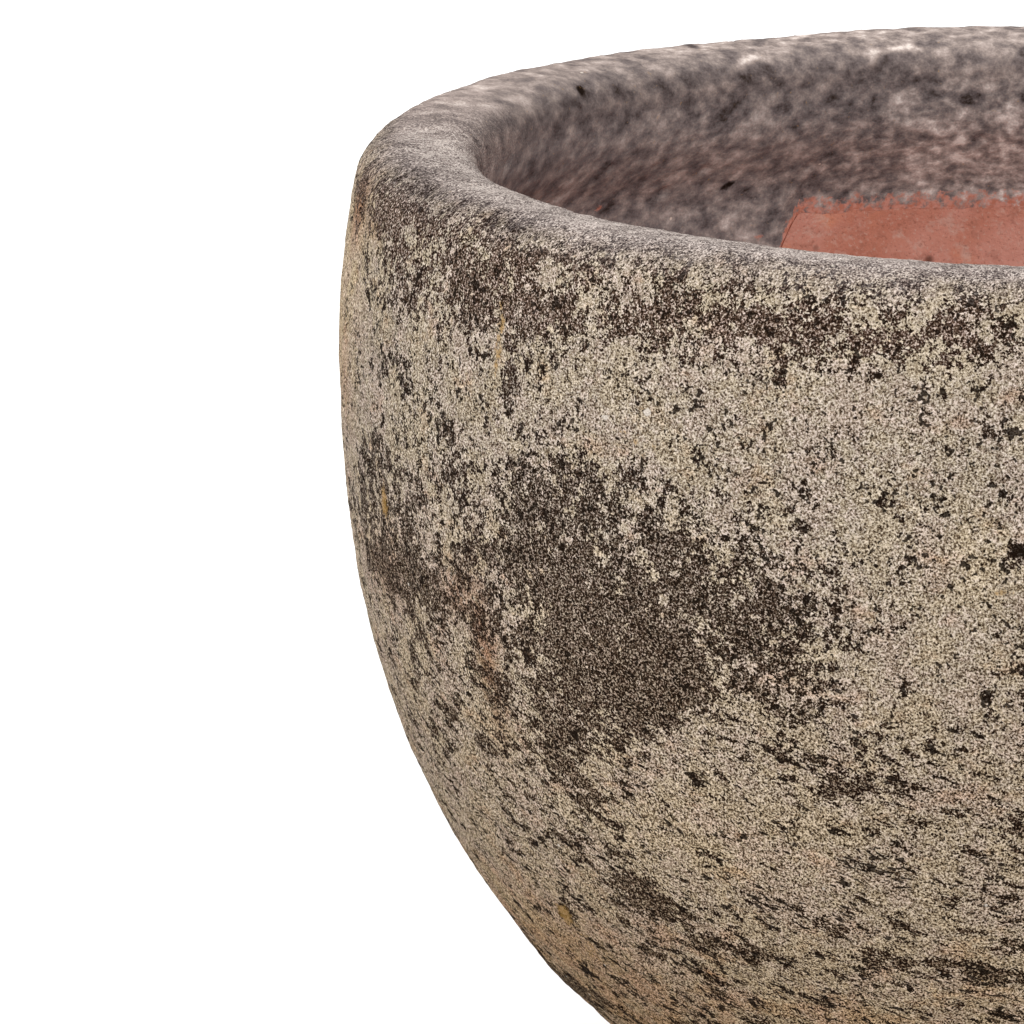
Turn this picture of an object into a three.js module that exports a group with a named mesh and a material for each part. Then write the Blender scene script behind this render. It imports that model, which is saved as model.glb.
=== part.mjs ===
// A round bowl planter that stands on the floor: a fired clay bowl with a rolled rim,
// and the sandy cement coat that covers its outside, its rim and the top of its inner wall.
// Millimetres, +Z up, origin at the centre of the standing face.

import * as THREE from "three";

// ---- Outer shape, measured over the coat ------------------------------------------

const BELLY_RADIUS = 300; // the widest ring
const BELLY_HEIGHT = 317.5; // height of the widest ring above the floor
const FLANK_PULL = 147; // how far the wall runs upright below the belly before it bends in
const FOOT_PULL = 133; // how far it keeps the foot's lean above the foot
const FOOT_LEAN = 53; // lean of the wall from upright at the foot, degrees

const NECK_RADIUS = 375; // bend of the wall from the belly up to the shoulder
const NECK_TURN = 10; // degrees
const SHOULDER_RADIUS = 21; // bend of the wall into the flat crown of the rim
const SHOULDER_TURN = 79.5; // degrees
const CROWN_RADIUS = 86; // gentle arch of the rim's top
const CROWN_TURN = 13; // degrees
const LIP_RADIUS = 13.5; // round edge of the mouth

// ---- Clay bowl --------------------------------------------------------------------

const WALL = 24; // thickness of the fired wall
const FLOOR = 28; // thickness of the bottom, between the recess and the inside
const CORNER_RISE = 25; // height above the inner floor where the wall starts to round into it
const BASE_RADIUS = 139; // outer radius of the flat ring that the bowl stands on
const BASE_ROUND = 8; // radius of the edge between that ring and the wall
const STANDING_WIDTH = 32; // width of the ring
const RECESS_DEPTH = 6; // height of the underside inside the ring
const RECESS_SLOPE = 5; // how far the side of the recess leans in
const DRAIN_RADIUS = 14; // hole in the middle of the bottom
const DRAIN_ROUND = 5; // rounded upper edge of that hole

// ---- Stone coat -------------------------------------------------------------------

const COAT = 3; // full thickness of the coat
const BOND = 0.3; // gap that stands for the bond between coat and clay
const COAT_EDGE = 0.8; // thickness where the coat runs out
const FEATHER = 20; // length over which it thins to that edge
const COAT_FOOT = 7; // height of the coat's lower edge above the floor
const COAT_REACH = 74; // how far the coat goes down inside, below the top of the rim

// ---- Facets -----------------------------------------------------------------------

const TURN_FACETS = 60; // round the axis
const WALL_FACETS = 10; // from foot to belly
const NECK_FACETS = 2;
const SHOULDER_FACETS = 6;
const CROWN_FACETS = 3;
const LIP_FACETS = 6;
const TUCK_FACETS = 6; // from the mouth down to the inside of the belly
const CORNER_FACETS = 5;
const EDGE_FACETS = 3; // small rounded edges

// ---- Lines ------------------------------------------------------------------------
// A line is a list of stations. Each has its point on the clay's outline, with x as
// radius and y as height, and the unit vector `out` that points out of the clay there.
// Lines run from the foot up the outside, over the rim and down the inside.

const radians = THREE.MathUtils.degToRad;
const spot = (x, y) => new THREE.Vector2(x, y);
const direction = (degrees) => spot(Math.cos(radians(degrees)), Math.sin(radians(degrees)));

function stationsOn(curve, facets) {
  return Array.from({ length: facets + 1 }, (_, i) => {
    const along = curve.getTangent(i / facets);
    return { point: curve.getPoint(i / facets), out: spot(along.y, -along.x) };
  });
}

// An arc that leaves `start` at `heading` and bends left by `turn`, all in degrees.
function bend(start, heading, radius, turn) {
  const centre = start.clone().addScaledVector(direction(heading + 90), radius);
  const from = radians(heading - 90);
  return new THREE.EllipseCurve(centre.x, centre.y, radius, radius, from, from + radians(turn));
}

// Lines joined end to end, each without the point it shares with the one before.
function joined(lines) {
  return lines.flatMap((line, i) => (i ? line.slice(1) : line));
}

function moved(station, distance) {
  const point = station.point.clone().addScaledVector(station.out, distance);
  return { point, out: station.out };
}

function between(a, b, share) {
  return { point: a.point.clone().lerp(b.point, share), out: a.out.clone().lerp(b.out, share).normalize() };
}

// The part of a line above `startHeight` at its beginning and above `endHeight` at its end.
function stretch(line, startHeight, endHeight) {
  const crossing = (a, b, height) => between(a, b, (height - a.point.y) / (b.point.y - a.point.y));
  const first = line.findIndex((s) => s.point.y > startHeight);
  const last = line.findLastIndex((s) => s.point.y > endHeight);
  return [
    crossing(line[first - 1], line[first], startHeight),
    ...line.slice(first, last + 1),
    crossing(line[last], line[last + 1], endHeight),
  ];
}

// ---- Clay bowl --------------------------------------------------------------------

const SKIN = COAT + BOND; // from the clay to the outer surface
const FLOOR_TOP = RECESS_DEPTH + FLOOR;

// The rounded edge that rises from the standing ring to the wall.
function baseEdge() {
  return bend(spot(BASE_RADIUS, 0), 0, BASE_ROUND, 90 - FOOT_LEAN);
}

function wallCurve() {
  const foot = baseEdge().getPoint(1);
  const belly = spot(BELLY_RADIUS - SKIN, BELLY_HEIGHT);
  return new THREE.CubicBezierCurve(
    foot,
    foot.clone().addScaledVector(direction(90 - FOOT_LEAN), FOOT_PULL),
    belly.clone().addScaledVector(direction(90), -FLANK_PULL),
    belly,
  );
}

// Neck, shoulder, crown and lip: four arcs that turn from straight up to straight down.
function rimLine() {
  const lipTurn = 180 - NECK_TURN - SHOULDER_TURN - CROWN_TURN;
  const bends = [
    [NECK_RADIUS, NECK_TURN, NECK_FACETS],
    [SHOULDER_RADIUS, SHOULDER_TURN, SHOULDER_FACETS],
    [CROWN_RADIUS, CROWN_TURN, CROWN_FACETS],
    [LIP_RADIUS, lipTurn, LIP_FACETS],
  ];
  let start = wallCurve().getPoint(1);
  let heading = 90;
  const lines = bends.map(([radius, turn, facets]) => {
    const arc = bend(start, heading, radius - SKIN, turn);
    start = arc.getPoint(1);
    heading += turn;
    return stationsOn(arc, facets);
  });
  return joined(lines);
}

// Inside of the wall, parallel to its outside, from the belly down to the floor's corner.
function innerWallLine() {
  const down = stationsOn(wallCurve(), WALL_FACETS).reverse();
  const inner = down.map(({ point, out }) => ({
    point: point.clone().addScaledVector(out, -WALL),
    out: out.clone().negate(),
  }));
  const cornerHeight = FLOOR_TOP + CORNER_RISE;
  const above = inner.filter((s) => s.point.y > cornerHeight);
  const [a, b] = [inner[above.length - 1], inner[above.length]];
  const share = (cornerHeight - a.point.y) / (b.point.y - a.point.y);
  return [...above, between(a, b, share)];
}

// The S-shaped stretch under the lip, from the mouth out to the inside of the belly.
function tuckCurve(mouth, belly) {
  const middle = (mouth.y + belly.y) / 2;
  return new THREE.CubicBezierCurve(mouth, spot(mouth.x, middle), spot(belly.x, middle), belly);
}

// The curve that rounds the inner wall into the floor.
function cornerCurve(end) {
  const down = spot(-end.out.y, end.out.x); // the way the line runs there
  const reach = (end.point.y - FLOOR_TOP) / -down.y;
  const turning = end.point.clone().addScaledVector(down, reach);
  return new THREE.QuadraticBezierCurve(end.point, turning, spot(turning.x - reach, FLOOR_TOP));
}

// Everything from the standing ring over the rim to the inner floor.
function clayLine() {
  const rim = rimLine();
  const inner = innerWallLine();
  return joined([
    stationsOn(baseEdge(), EDGE_FACETS),
    stationsOn(wallCurve(), WALL_FACETS),
    rim,
    stationsOn(tuckCurve(rim.at(-1).point, inner[0].point), TUCK_FACETS),
    inner,
    stationsOn(cornerCurve(inner.at(-1)), CORNER_FACETS),
  ]);
}

// The drain hole and the recess under the bottom, from the inner floor to the standing ring.
function undersidePoints() {
  const drainEdge = bend(spot(DRAIN_RADIUS + DRAIN_ROUND, FLOOR_TOP), 180, DRAIN_ROUND, 90);
  const ringInside = BASE_RADIUS - STANDING_WIDTH;
  return [
    ...drainEdge.getPoints(EDGE_FACETS),
    spot(DRAIN_RADIUS, RECESS_DEPTH),
    spot(ringInside - RECESS_SLOPE, RECESS_DEPTH),
    spot(ringInside, 0),
  ];
}

// ---- Stone coat -------------------------------------------------------------------

// The coated stretch of the clay, with a station added where each thin edge begins.
function coatedLine() {
  const crest = Math.max(...rimLine().map((s) => s.point.y)) + SKIN;
  const run = stretch(clayLine(), COAT_FOOT, crest - COAT_REACH);
  const distances = [0];
  run.slice(1).forEach((s, i) => distances.push(distances[i] + s.point.distanceTo(run[i].point)));
  const end = distances.at(-1);
  const stationAt = (d) => {
    const i = Math.min(distances.findLastIndex((known) => known <= d), run.length - 2);
    return between(run[i], run[i + 1], (d - distances[i]) / (distances[i + 1] - distances[i]));
  };
  const stops = [...new Set([...distances, FEATHER, end - FEATHER])].sort((a, b) => a - b);
  return stops.map((d) => {
    const thinning = Math.min(1, d / FEATHER, (end - d) / FEATHER);
    return { ...stationAt(d), thickness: COAT_EDGE + (COAT - COAT_EDGE) * thinning };
  });
}

function coatPoints() {
  const line = coatedLine();
  const face = line.map((s) => moved(s, BOND + s.thickness).point);
  const back = line.map((s) => moved(s, BOND).point);
  return [...face, ...back.reverse()];
}

// ---- Assembly ---------------------------------------------------------------------

// A closed outline turned round the axis.
function turned(name, points, material) {
  const geometry = new THREE.LatheGeometry([...points, points[0]], TURN_FACETS);
  const mesh = new THREE.Mesh(geometry, material);
  mesh.name = name;
  return mesh;
}

const terracotta = new THREE.MeshStandardMaterial({ color: 0xa9583c, roughness: 0.95, metalness: 0 });
const stone = new THREE.MeshStandardMaterial({ color: 0x8f887b, roughness: 0.97, metalness: 0 });

const planter = new THREE.Group();
planter.rotation.x = Math.PI / 2; // the lathe turns round Y, and the planter stands on Z
planter.add(
  turned("clay_bowl", [...clayLine().map((s) => s.point), ...undersidePoints()], terracotta),
  turned("stone_coat", coatPoints(), stone),
);

export default planter;
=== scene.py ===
"""A round bowl planter: fired clay under a weathered, sandy cement coat.

Metres, +Z up, origin at the centre of the standing face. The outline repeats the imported
model's sizes, and the surfaces carry what the outline can't: the hand-made wobble, lumps,
pits, the ragged edge of the coat inside, and the materials' grain and stains.
"""
import math
from collections import namedtuple
from itertools import product

import bpy
import numpy as np
from mathutils import Matrix, Vector


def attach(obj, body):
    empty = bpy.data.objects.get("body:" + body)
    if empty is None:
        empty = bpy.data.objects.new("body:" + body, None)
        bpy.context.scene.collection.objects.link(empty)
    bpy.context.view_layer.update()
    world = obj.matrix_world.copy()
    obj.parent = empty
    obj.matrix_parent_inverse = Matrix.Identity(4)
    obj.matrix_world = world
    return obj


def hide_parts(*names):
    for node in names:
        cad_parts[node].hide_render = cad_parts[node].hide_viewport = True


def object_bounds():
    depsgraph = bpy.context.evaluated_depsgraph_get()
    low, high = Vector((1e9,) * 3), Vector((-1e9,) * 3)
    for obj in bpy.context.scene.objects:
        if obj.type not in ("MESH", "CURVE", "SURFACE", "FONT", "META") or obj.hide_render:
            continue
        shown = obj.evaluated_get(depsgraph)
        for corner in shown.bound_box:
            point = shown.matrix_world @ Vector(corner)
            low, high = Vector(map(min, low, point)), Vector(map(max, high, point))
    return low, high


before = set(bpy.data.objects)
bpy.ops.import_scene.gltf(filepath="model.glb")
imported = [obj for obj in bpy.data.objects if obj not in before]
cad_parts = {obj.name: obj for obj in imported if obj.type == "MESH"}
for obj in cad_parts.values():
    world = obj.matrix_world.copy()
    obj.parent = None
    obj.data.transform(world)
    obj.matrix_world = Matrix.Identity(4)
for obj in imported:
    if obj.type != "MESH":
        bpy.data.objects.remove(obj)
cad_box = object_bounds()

MM = 0.001

# ---- Sizes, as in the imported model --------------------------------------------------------

BELLY_RADIUS = (cad_box[1].x - cad_box[0].x) / 2
BELLY_HEIGHT = 317.5 * MM
FLANK_PULL = 147 * MM
FOOT_PULL = 133 * MM
FOOT_LEAN = 53  # degrees
BASE_RADIUS = 139 * MM
BASE_ROUND = 8 * MM
RIM_BENDS = (  # radius, and turn in degrees
    (375 * MM, 10),  # neck
    (21 * MM, 79.5),  # shoulder
    (86 * MM, 13),  # crown
    (13.5 * MM, 77.5),  # lip
)
SKIN = 3.3 * MM  # from the clay to the coat's outer surface
WALL = 24 * MM
FLOOR_TOP = 34 * MM
CORNER_RISE = 25 * MM
STANDING_WIDTH = 32 * MM
RECESS_DEPTH = 6 * MM
RECESS_SLOPE = 5 * MM
DRAIN_RADIUS = 14 * MM
DRAIN_ROUND = 5 * MM
COAT_FOOT = 7 * MM

# ---- The coat's ends, along the surface -----------------------------------------------------

INNER_EDGE = 70.5 * MM  # from the mouth down to the coat's inner edge, at the back
INNER_EDGE_DROP = 20 * MM  # how much deeper that edge lies towards the left
DROP_BEGINS, DROP_ENDS = (25.5, 28.5), (150, 200)  # degrees round from the far back
RAGGEDNESS = 2.5 * MM
THINNING = 24 * MM  # how far from its ends the coat begins to thin
THIN_END = 0.03  # share of the thickness left at the ends
THINNEST = 0.12 * MM
SUNK = 0.1 * MM  # how deep the coat's back and ends sit in the clay
WORN = 7 * MM  # how far from its ends the clay shows through

# ---- Unevenness -----------------------------------------------------------------------------

# The bowl is out of round: how far, how many times in a turn, and the phase.
SWINGS = ((1.2 * MM, 2, 0.9), (0.7 * MM, 3, -0.4))
BULGE = 0.9 * MM
BULGE_SIZE = 150 * MM
RIM_FOOT, RIM_TOP = 0.3, 0.4  # heights between which the rim's rise and fall grows

Rough = namedtuple("Rough", "height size seed octaves fall")
COAT_ROUGHNESS = (
    Rough(0.55 * MM, 45 * MM, 21, 3, 0.55),  # lumps
    Rough(0.42 * MM, 11 * MM, 22, 3, 0.7),  # knobs
    Rough(0.38 * MM, 5 * MM, 25, 2, 0.7),  # grit
)
CLAY_ROUGHNESS = Rough(0.45 * MM, 26 * MM, 42, 4, 0.55)
PIT_DEPTH = 0.55  # depth of a pit as a share of its radius
BIG_PIT_SHARE = 0.6  # the bigger pits are flatter
SHOWN_PIT_DEPTH = 0.9 * MM
THROWING_RING, RING_PITCH, RING_WANDER = 0.35 * MM, 15 * MM, 90 * MM
RINGS_TOP = 0.385  # height up to which the inner wall is uneven
INSIDE_SUNK = 0.3 * MM
FACING_IN = 0.2  # the outward normal points inwards, or hardly outwards, below this

# ---- Mesh fineness --------------------------------------------------------------------------

COAT_COLUMNS, COAT_ROWS, COAT_BACK_ROWS = 860, 280, 30
CLAY_COLUMNS, CLAY_ROWS = 480, 300
FINE = 0.5 * MM  # spacing of the stations that an outline is worked out on
FOOT_STATIONS = 100  # stations of the outline that surely take in the coat's foot
TOUCHING = 1e-7

# ---- Outline: (points, outward normals), radius and height ----------------------------------


def heading(degrees):
    return np.array([math.cos(math.radians(degrees)), math.sin(math.radians(degrees))])


def bend(start, degrees, radius, turn, steps=60):
    """An arc that leaves `start` at `degrees` and bends left by `turn`."""
    centre = start + radius * heading(degrees + 90)
    angles = np.radians(degrees - 90 + np.linspace(0, turn, steps))
    out = np.stack([np.cos(angles), np.sin(angles)], 1)
    return centre + radius * out, out


def curve(p0, p1, p2, p3, steps=400):
    """A cubic Bezier curve."""
    t = np.linspace(0, 1, steps)[:, None]
    points = (1 - t) ** 3 * p0 + 3 * (1 - t) ** 2 * t * p1 + 3 * (1 - t) * t * t * p2 + t**3 * p3
    along = (1 - t) ** 2 * (p1 - p0) + 2 * (1 - t) * t * (p2 - p1) + t * t * (p3 - p2)
    along /= np.linalg.norm(along, axis=1)[:, None]
    return points, np.stack([along[:, 1], -along[:, 0]], 1)


def joined(parts):
    points = np.concatenate([p for p, _ in parts])
    out = np.concatenate([n for _, n in parts])
    fresh = np.r_[True, np.linalg.norm(np.diff(points, axis=0), axis=1) > TOUCHING]
    return points[fresh], out[fresh]


def straight(*corners):
    """Straight runs through the corners, each with its own normal."""
    runs = []
    for a, b in zip(corners, corners[1:]):
        a, b = np.array(a), np.array(b)
        steps = max(2, int(np.linalg.norm(b - a) / FINE))
        along = (b - a) / np.linalg.norm(b - a)
        points = a + np.linspace(0, 1, steps)[:, None] * (b - a)
        runs.append((points, np.tile([along[1], -along[0]], (steps, 1))))
    return joined(runs)


def distances(points):
    return np.r_[0, np.cumsum(np.linalg.norm(np.diff(points, axis=0), axis=1))]


def outer_wall():
    base = bend(np.array([BASE_RADIUS, 0.0]), 0, BASE_ROUND, 90 - FOOT_LEAN)
    foot = base[0][-1]
    belly = np.array([BELLY_RADIUS - SKIN, BELLY_HEIGHT])
    lean = heading(90 - FOOT_LEAN)
    return base, curve(foot, foot + FOOT_PULL * lean, belly - [0, FLANK_PULL], belly)


def rim():
    """Neck, shoulder, crown and lip."""
    start, degrees, parts = outer_wall()[1][0][-1], 90, []
    for radius, turn in RIM_BENDS:
        parts.append(bend(start, degrees, radius - SKIN, turn))
        start, degrees = parts[-1][0][-1], degrees + turn
    return joined(parts)


def inner_wall():
    """From the mouth, out under the lip, down and round into the floor."""
    points, out = outer_wall()[1]
    points, out = (points - WALL * out)[::-1], -out[::-1]
    mouth, belly = rim()[0][-1], points[0]
    middle = (mouth[1] + belly[1]) / 2
    tuck = curve(mouth, np.array([mouth[0], middle]), np.array([belly[0], middle]), belly, steps=160)
    above = points[:, 1] > FLOOR_TOP + CORNER_RISE
    points, out = points[above], out[above]
    start, down = points[-1], np.array([-out[-1][1], out[-1][0]])
    reach = (start[1] - FLOOR_TOP) / -down[1]
    turning = start + reach * down
    end = np.array([turning[0] - reach, FLOOR_TOP])
    corner = curve(start, (start + 2 * turning) / 3, (end + 2 * turning) / 3, end, steps=120)
    return joined([tuck, (points, out), corner])


def clay_outline():
    """The whole section of the clay: up the outside, over, down the inside, out underneath."""
    base, wall = outer_wall()
    inside = inner_wall()
    drain = bend(np.array([DRAIN_RADIUS + DRAIN_ROUND, FLOOR_TOP]), 180, DRAIN_ROUND, 90, steps=20)
    ring = BASE_RADIUS - STANDING_WIDTH
    floor = straight(inside[0][-1], drain[0][0])
    under = straight(
        drain[0][-1],
        (DRAIN_RADIUS, RECESS_DEPTH),
        (ring - RECESS_SLOPE, RECESS_DEPTH),
        (ring, 0),
        (BASE_RADIUS, 0),
    )
    return joined([base, wall, rim(), inside, floor, drain, under])


def coated_outline():
    """The clay under the coat, and each station's reach: its distance from the mouth along
    the surface, over the rim and down the outside, and negative down the inside."""
    base, wall = outer_wall()
    outside = joined([base, wall, rim()])
    points, out = joined([outside, inner_wall()])
    surface = points + SKIN * out
    walked = distances(surface)
    reach = walked[len(outside[0]) - 1] - walked
    return points, out, reach


# ---- Noise ----------------------------------------------------------------------------------


def chance(cells, seed):
    """A fixed number from -1 to 1 for each cell of a lattice, from its stirred bits."""
    x, y, z = (cells[:, i].astype(np.uint64) for i in range(3))
    h = x * np.uint64(0x9E3779B97F4A7C15) ^ y * np.uint64(0xC2B2AE3D27D4EB4F)
    h ^= z * np.uint64(0x165667B19E3779F9)
    h ^= np.uint64(seed) * np.uint64(0x27D4EB2F165667C5)
    h ^= h >> np.uint64(29)
    h *= np.uint64(0xBF58476D1CE4E5B9)
    h ^= h >> np.uint64(32)
    return (h & np.uint64(0xFFFFFF)).astype(float) / 0x7FFFFF - 1


def smooth_noise(points, size, seed):
    """Smooth noise from -1 to 1 with features about `size` across."""
    at = points / size + 1000.0  # keeps the cells' numbers positive
    cell = np.floor(at).astype(np.int64)
    f = at - cell
    f = f * f * f * (f * (f * 6 - 15) + 10)
    total = np.zeros(len(points))
    for corner in product((0, 1), repeat=3):
        weight = np.prod(np.where(np.array(corner) == 1, f, 1 - f), axis=1)
        total += weight * chance(cell + np.array(corner), seed)
    return total


def rough_noise(points, size, seed, octaves=4, fall=0.55):
    """Several smooth noises, each half the size of the one before."""
    total, weight, whole = 0.0, 1.0, 0.0
    for octave in range(octaves):
        total = total + weight * smooth_noise(points, size / 2**octave, seed + 31 * octave)
        whole += weight
        weight *= fall
    return total / whole


def rise(value, start, end):
    """0 at `start` and 1 at `end`, with soft ends. `start` may be the greater one."""
    t = np.clip((value - start) / (end - start), 0, 1)
    return t * t * (3 - 2 * t)


# ---- What the photograph shows, by place ----------------------------------------------------
# Azimuth in degrees: 0 faces the camera and -90 is the left edge. Reach in millimetres, as
# in coated_outline. Half the width and half the height in millimetres, then how strong.

Patch = namedtuple("Patch", "azimuth reach wide tall amount")

SOOT_PATCHES = (
    # the dark cloud in the middle and its tail
    (-33, 204, 32, 29, 1.1), (-34, 233, 17, 16, 0.9), (-40, 226, 19, 32, 1.1),
    (-44, 256, 16, 26, 1.1), (-41.5, 280, 10, 11, 0.9), (-39, 145, 25, 17, 0.80),
    (-45, 166, 15, 20, 0.55), (-31, 168, 24, 20, 0.55), (-24, 182, 20, 13, 0.42),
    (-31, 226, 20, 15, 0.35), (-18, 172, 17, 12, 0.40), (-16, 192, 15, 6, 0.5),
    (-40, 190, 18, 28, 0.9),
    # the fainter cloud to its left
    (-69, 207, 31, 24, 0.65), (-62, 204, 31, 18, 0.60), (-53, 207, 31, 14, 0.6),
    (-72, 181, 20, 13, 0.6), (-53.5, 150, 10, 13, 0.8), (-69, 166, 20, 10, 0.55),
    (-61, 176, 26, 16, 0.5), (-59.5, 135, 6, 9, 0.6), (-50, 182, 18, 12, 0.4),
    (-78, 200, 20, 20, 0.4), (-47, 178, 30, 34, 0.35), (-62, 228, 40, 24, 0.28),
    (-24, 218, 32, 36, 0.38), (-50, 240, 46, 30, 0.25), (-84, 160, 14, 9, 0.6),
    (-64, 60, 70, 9, 0.35), (-27, 158, 30, 16, 0.35), (-10, 262, 46, 22, 0.45),
    (-21, 203, 20, 22, 0.42),
    # streaks and spots below
    (-58.5, 262, 14, 5, 0.7), (-54.5, 270, 12, 5, 0.7), (-50, 289, 9, 6, 0.6),
    (-40.8, 300, 8, 6, 1.0), (-38.5, 324, 18, 12, 1.7), (-33.5, 340, 11, 7, 1.2),
    (-28, 345, 9, 7, 1.7), (-45.7, 311, 6, 8, 0.8), (-48.7, 342, 12, 5, 0.7),
    (-42.8, 342, 9, 5, 0.7), (-41, 357, 9, 5, 0.8), (-35, 373, 12, 8, 1.0),
    (-31, 362, 8, 4, 0.7), (-64, 280, 30, 14, 0.12), (-49, 262, 22, 28, 0.35),
    (-60, 268, 22, 14, 0.2), (-35, 250, 30, 16, 0.35), (-60, 310, 40, 20, 0.2),
    (-69, 410, 26, 14, 1.7), (-60, 405, 18, 7, 1.5), (-74, 391, 16, 11, 1.2),
    # the lower right line
    (-19, 326, 7, 5, 1.2), (-16.5, 338, 11, 5, 1.3), (-12.3, 340, 14, 4, 1.2),
    (-8, 339, 12, 4, 1.1), (-4, 345, 10, 5, 1.2), (-13, 322, 9, 3, 0.6),
    (-17.2, 257, 11, 6, 1.1), (-11, 255, 8, 4, 0.8), (-3.4, 155, 7, 6, 1.3),
    (-4, 327, 8, 5, 0.9), (-5.9, 106, 5, 4, 1.2),
    # under the rim, with a drip
    (-60, 90, 34, 11, 0.60), (-51, 90, 24, 10, 0.40), (-50, 72, 30, 13, 0.30),
    (-44, 88, 24, 11, 0.65), (-46.7, 110, 4.5, 14, 1.1), (-10, 73, 40, 9, 0.70),
    (-23, 73, 30, 8, 0.45), (-36, 70, 170, 16, 0.35), (-34, 80, 60, 7, 0.55),
    (-44, 59, 110, 5, 0.30), (-80, 68, 24, 17, 0.75), (-70, 66, 34, 13, 0.45),
    (-68, 58, 40, 9, 0.4), (-22, 78, 26, 7, 0.35),
)
SAND_PATCHES = (
    (-84, 130, 50, 50, 0.5), (-86, 260, 40, 60, 0.35), (-82, 106, 30, 28, 0.6),
    (-8, 165, 34, 28, 0.75), (-10, 100, 36, 13, 0.5), (-31, 117, 60, 20, 0.5),
    (-8, 122, 60, 28, 0.45), (-50, 133, 22, 11, 0.4), (-22, 100, 50, 12, 0.3),
    (-73, 128, 30, 20, 0.35), (-25, 290, 60, 30, 0.5), (-14, 300, 40, 22, 0.3),
    (-29, 317, 18, 9, 0.5), (-65, 362, 50, 20, 0.25), (-9, 228, 28, 44, 0.35),
    (-66, 110, 40, 12, 0.25),
)
OCHRE_SPOTS = (
    (-66.4, 181, 5, 7, 1.0), (-48.3, 96, 2.5, 24, 0.75), (-52.1, 350, 7, 7, 1.1),
    (-4.5, 172, 4, 5, 0.5), (-34, 125, 20, 6, 0.3), (-50, 372, 26, 14, 0.3),
)
# Pale patches; those at -77 to -85 degrees make the left edge paler and yellower: painted light.
PALE_PATCHES_AND_EDGE_LIGHT = (
    (-85, 108, 44, 42, 1.1), (-77, 104, 36, 26, 0.6), (-85, 195, 24, 44, 0.5),
    (-7, 160, 24, 20, 0.4), (-29, 290, 50, 24, 0.3), (-65, 362, 50, 20, 0.5),
)
PINK_PATCHES = (
    (-78, 71, 22, 16, 1.0), (-79, 142, 22, 20, 0.9), (-55, 375, 60, 34, 0.6),
    (-66, 200, 30, 20, 0.4),
)
RUST_PATCHES = (
    (-78, 71, 20, 15, 0.9), (-69, 212, 28, 14, 0.5), (-71, 74, 14, 6, 0.7),
    (-51.5, 230, 9, 40, 1.0), (-55, 205, 13, 12, 0.8), (-34.5, 366, 5, 4, 1.1),
)
# Mostly painted highlights on the lip and crest, where light catches the rounded rim, with a few
# pale marks inside.
HIGHLIGHTS_AND_PALE_MARKS = (
    (-99, 2, 34, 18, 0.16), (-173, 4, 50, 7, 0.13), (-146, 12.5, 6, 2.2, 0.6),
    (-162, 12, 14, 1.6, 0.5), (-170, -48, 16, 12, 0.10), (-20, 22, 22, 9, 0.13),
    (-30, 19, 18, 6, 0.05), (-86, 19, 30, 7, 0.09), (-172, -44, 56, 22, 0.04),
)
# Mostly painted shade on the shoulder, the far crown and under the lip inside, where the rim turns
# from the light, with a few small dark spots.
SHADE_AND_DARK_MARKS = (
    (-72, 42, 56, 9, 0.17), (-62, 46, 60, 9, 0.07), (-51, 51, 28, 8, 0.27),
    (-40, 42, 30, 8, 0.07), (-122, 26, 66, 7, 0.11), (-160, 14, 80, 7, 0.06),
    (-64, 50, 70, 13, 0.16), (-150, -14, 60, 8, 0.12), (-171, -10, 22, 5, 0.16),
    (-122.5, 10, 2.2, 2, 0.8), (-145.5, -55, 2.5, 2.5, 0.8), (-142, 36, 3, 6, 0.5),
    (-10, 27, 16, 8, 0.05), (-132, -12, 44, 10, 0.05),
)
BARE_SPOTS = (
    (-130, -54, 4, 3, 0.9), (-150, -79, 4, 3, 0.9), (-153, -74, 4, 6, 0.7),
)
PIT_SPOTS = (
    (-49.2, 68, 2, 2, 1.1), (-3.4, 155, 4, 3.6, 1.2), (-6.9, 105, 1.6, 1.6, 1.2),
    (-10.2, 121, 1.6, 1.6, 1.2), (-15.6, 122, 1.3, 1.3, 1.2), (-28.3, 346, 3, 2.4, 1.2),
    (-15.8, 54, 2, 2, 1.1), (-16.5, 156, 2, 2, 1.0),
)
STONE_SPOTS = (
    (-32.7, 113, 2.8, 2.4, 1.0), (-36.6, 118, 2.2, 2.0, 1.0),
)
LUMPS = (
    (-78, 408, 60, 16, 1.3),
)
# Azimuth, then how far the hand-made rim stands above its even height there, in millimetres.
RIM_RISE = (
    (-180, 0.0), (-170, 0.1), (-160, -0.1), (-150, -0.8), (-140, -0.4), (-130, -0.1),
    (-120, 0.1), (-110, -0.6), (-100, -0.2), (-90, 0.3), (-70, 0.3), (-58, 0.4), (-50, -0.3),
    (-40, 0.1), (-30, 0.5), (-20, 0.1), (-10, -0.7), (-3, -0.4), (10, -0.6), (30, 0.5),
    (80, 0.8), (130, -0.3), (180, 0.0),
)

OTHER_SIDES = (12, 258)  # the azimuths that the photograph doesn't show

# Stains for the other sides: the kind, how many, then the spans that their reach, half
# width, half height and strength are drawn from.
SCATTER_SEED = 11
SCATTERED = (
    ("soot", 26, (95, 420), (16, 36), (12, 36), (0.5, 1.0)),
    ("soot", 60, (95, 420), (6, 14), (4, 9), (0.6, 1.1)),
    ("soot", 14, (66, 90), (20, 46), (8, 14), (0.5, 0.9)),
    ("soot", 7, (120, 330), (40, 85), (24, 50), (0.7, 1.0)),
    ("sand", 22, (95, 420), (25, 60), (15, 40), (0.3, 0.5)),
    ("ochre", 14, (95, 420), (3, 8), (4, 16), (0.4, 1.0)),
    ("pink", 10, (66, 420), (20, 50), (10, 34), (0.4, 0.9)),
)
PATCH_FALL = 1.2  # how quickly a patch fades from its middle
STAIN_SHIFT = 6 * MM

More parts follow.
